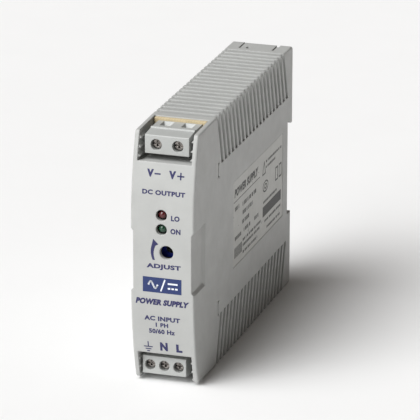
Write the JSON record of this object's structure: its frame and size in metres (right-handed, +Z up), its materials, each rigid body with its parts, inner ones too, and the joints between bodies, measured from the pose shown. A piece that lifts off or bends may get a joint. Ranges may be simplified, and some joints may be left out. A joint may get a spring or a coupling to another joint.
{
  "type": "din rail power supply",
  "caption": "Slim light-grey rail-mounted power supply: ribbed case, screw terminals top and bottom of the front, status lamps and a voltage adjuster.",
  "frame": {"origin": "middle of the base: centre of the overall box in X and Y, at its lowest face in Z", "axes": "+X to the right seen from the front, +Y from the front panel back to the rail, +Z up"},
  "size_m": [0.0226, 0.1164, 0.09],
  "materials": {
    "board_green": "solder-masked laminate",
    "board_laminate": "bare laminate edge",
    "bobbin_plastic": "phenolic",
    "box_yellow": "film capacitor box",
    "cage_steel": "zinc plated",
    "can_sleeve": "shrink sleeve over an aluminium can",
    "case_plastic": "fine moulded texture, light cool grey",
    "chip_black": "moulded epoxy",
    "contact_copper": "tinned",
    "copper_wire": "enamelled",
    "disc_black": "dipped coating",
    "disc_blue": "dipped epoxy",
    "ferrite": "ground ferrite",
    "fuse_glass": "clear tube",
    "header_black": "moulded",
    "heatsink_aluminium": "rolled sheet",
    "label_film": "satin printed film",
    "lamp_green": "tinted epoxy lens",
    "lamp_red": "tinted epoxy lens",
    "latch_plastic": "moulded, dark grey",
    "resistor_body": "lacquered",
    "rotor_black": "moulded, cross slot",
    "screw_steel": "zinc plated",
    "spacer_black": "moulded",
    "spring_steel": "drawn wire",
    "terminal_plastic": "moulded, light grey",
    "trimmer_blue": "moulded",
    "winding_tape": "polyester tape over the winding"
  },
  "bodies": {
    "case": {"housing": "case_plastic", "rear_cover": "case_plastic", "rating_label": "label_film", "latch_spring": "spring_steel", "front_board": "board_laminate", "main_board": "board_green", "board_header": "header_black", "output_terminal_body": "terminal_plastic", "input_terminal_body": "terminal_plastic", "output_contacts": "contact_copper", "input_contacts": "contact_copper", "lamp_low": "lamp_red", "lamp_on": "lamp_green", "lamp_spacers": "spacer_black", "trimmer_body": "trimmer_blue", "mains_capacitor": "can_sleeve", "output_capacitor_front": "can_sleeve", "output_capacitor_back": "can_sleeve", "varistor": "disc_blue", "inrush_thermistor": "disc_black", "isolation_capacitor": "disc_blue", "suppression_capacitor": "box_yellow", "bridge_rectifier": "chip_black", "control_chip": "chip_black", "optocoupler": "chip_black", "fuse": "fuse_glass", "line_choke_core": "ferrite", "line_choke_windings": "copper_wire", "transformer_core": "ferrite", "transformer_bobbin": "bobbin_plastic", "transformer_winding": "winding_tape", "heatsink": "heatsink_aluminium", "power_transistor": "chip_black", "heatsink_screw": "screw_steel", "output_inductor": "copper_wire", "output_diode": "chip_black", "voltage_reference": "chip_black", "resistors": "resistor_body"},
    "output_screw_minus": {"output_screw_minus": "screw_steel"},
    "output_cage_minus": {"output_cage_minus": "cage_steel"},
    "output_screw_plus": {"output_screw_plus": "screw_steel"},
    "output_cage_plus": {"output_cage_plus": "cage_steel"},
    "input_screw_earth": {"input_screw_earth": "screw_steel"},
    "input_cage_earth": {"input_cage_earth": "cage_steel"},
    "input_screw_neutral": {"input_screw_neutral": "screw_steel"},
    "input_cage_neutral": {"input_cage_neutral": "cage_steel"},
    "input_screw_line": {"input_screw_line": "screw_steel"},
    "input_cage_line": {"input_cage_line": "cage_steel"},
    "latch": {"din_latch": "latch_plastic"},
    "trimmer_rotor": {"trimmer_rotor": "rotor_black"}
  },
  "joints": [
    {"name": "output_screw_minus_turn", "type": "hinge", "parent": "case", "child": "output_screw_minus", "pos_m": [-0.00371, -0.04915, 0.085], "axis": [0, 1, 0], "range_deg": [0, 1440.5]},
    {"name": "output_cage_minus_slide", "type": "slide", "parent": "case", "child": "output_cage_minus", "axis": [0, -1, 0], "range_m": [0, 0.002]},
    {"name": "output_screw_plus_turn", "type": "hinge", "parent": "case", "child": "output_screw_plus", "pos_m": [0.00391, -0.04915, 0.085], "axis": [0, 1, 0], "range_deg": [0, 1440.5]},
    {"name": "output_cage_plus_slide", "type": "slide", "parent": "case", "child": "output_cage_plus", "axis": [0, -1, 0], "range_m": [0, 0.002]},
    {"name": "input_screw_earth_turn", "type": "hinge", "parent": "case", "child": "input_screw_earth", "pos_m": [-0.00605, -0.04915, 0.0058], "axis": [0, 1, 0], "range_deg": [0, 1600.5]},
    {"name": "input_cage_earth_slide", "type": "slide", "parent": "case", "child": "input_cage_earth", "axis": [0, -1, 0], "range_m": [0, 0.002]},
    {"name": "input_screw_neutral_turn", "type": "hinge", "parent": "case", "child": "input_screw_neutral", "pos_m": [-0.00097, -0.04915, 0.0058], "axis": [0, 1, 0], "range_deg": [0, 1600.5]},
    {"name": "input_cage_neutral_slide", "type": "slide", "parent": "case", "child": "input_cage_neutral", "axis": [0, -1, 0], "range_m": [0, 0.002]},
    {"name": "input_screw_line_turn", "type": "hinge", "parent": "case", "child": "input_screw_line", "pos_m": [0.00411, -0.04915, 0.0058], "axis": [0, 1, 0], "range_deg": [0, 1600.5]},
    {"name": "input_cage_line_slide", "type": "slide", "parent": "case", "child": "input_cage_line", "axis": [0, -1, 0], "range_m": [0, 0.002]},
    {"name": "latch_slide", "type": "slide", "parent": "case", "child": "latch", "axis": [0, 0, -1], "range_m": [0, 0.003], "stiffness_N_per_m": 2500, "springref_m": -0.002, "deforming": ["latch_spring"]},
    {"name": "trimmer_turn", "type": "hinge", "parent": "case", "child": "trimmer_rotor", "pos_m": [0.0015, -0.05265, 0.04875], "axis": [0, 1, 0], "range_deg": [-130, 130]}
  ],
  "couplings": [
    {"joint": "output_screw_minus_turn", "follows": "output_cage_minus_slide", "rad_per_m": 12566},
    {"joint": "output_screw_plus_turn", "follows": "output_cage_plus_slide", "rad_per_m": 12566},
    {"joint": "input_screw_earth_turn", "follows": "input_cage_earth_slide", "rad_per_m": 13963},
    {"joint": "input_screw_neutral_turn", "follows": "input_cage_neutral_slide", "rad_per_m": 13963},
    {"joint": "input_screw_line_turn", "follows": "input_cage_line_slide", "rad_per_m": 13963}
  ]
}
